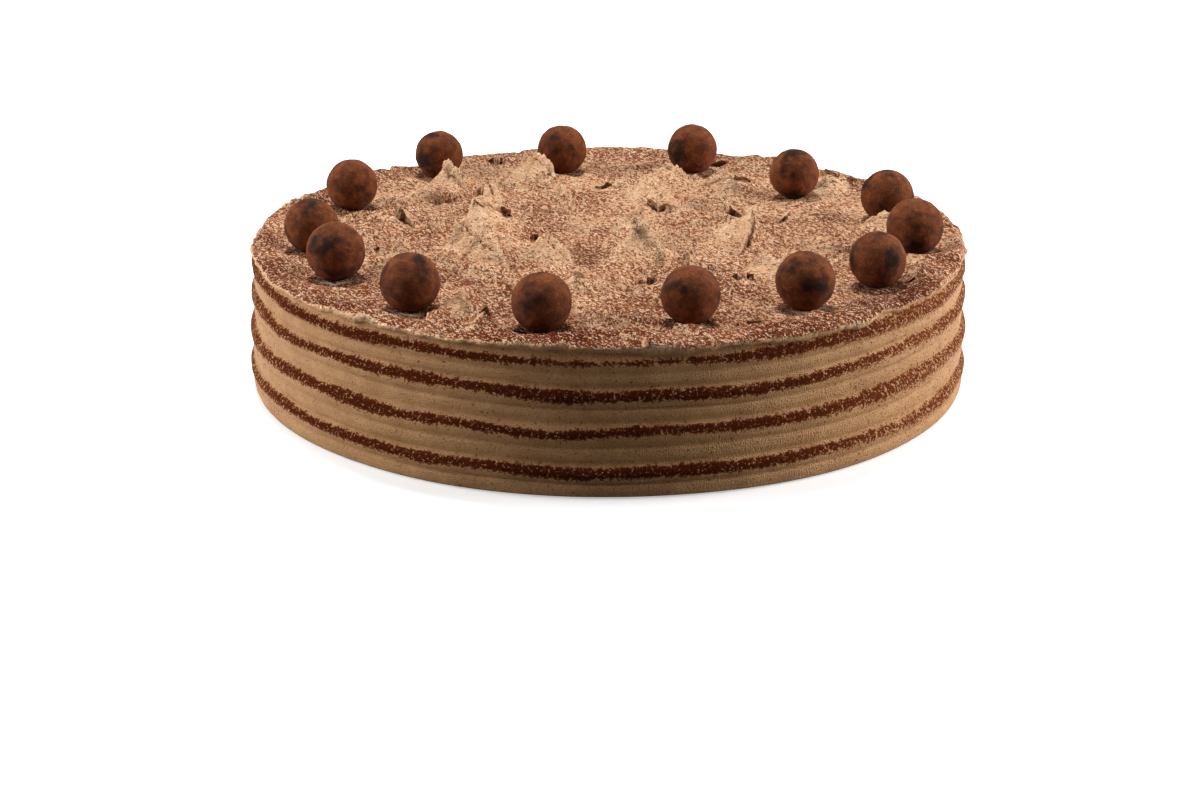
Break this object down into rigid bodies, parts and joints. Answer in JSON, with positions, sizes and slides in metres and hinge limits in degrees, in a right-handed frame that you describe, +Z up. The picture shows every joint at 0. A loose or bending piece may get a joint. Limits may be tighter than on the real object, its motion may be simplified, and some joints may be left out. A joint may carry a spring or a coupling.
{
  "type": "chocolate truffle cake",
  "caption": "Round uncut chocolate cream cake with a combed, cocoa-dusted side, a spatula-worked top with pulled-up peaks and a ring of cocoa truffles near the rim.",
  "frame": {"origin": "centre of the cake's flat base, where it stands on its plate", "axes": "+Z up through the middle of the cake, -Y towards the front as pictured, +X to the right as seen from the front"},
  "size_m": [0.286, 0.286, 0.0741],
  "materials": {
    "cream": "matt chocolate cream",
    "cocoa": "dusty cocoa powder"
  },
  "bodies": {
    "root": {"cake": "cream", "truffle_01": "cocoa", "truffle_02": "cocoa", "truffle_03": "cocoa", "truffle_04": "cocoa", "truffle_05": "cocoa", "truffle_06": "cocoa", "truffle_07": "cocoa", "truffle_08": "cocoa", "truffle_09": "cocoa", "truffle_10": "cocoa", "truffle_11": "cocoa", "truffle_12": "cocoa", "truffle_13": "cocoa", "truffle_14": "cocoa"}
  },
  "joints": []
}
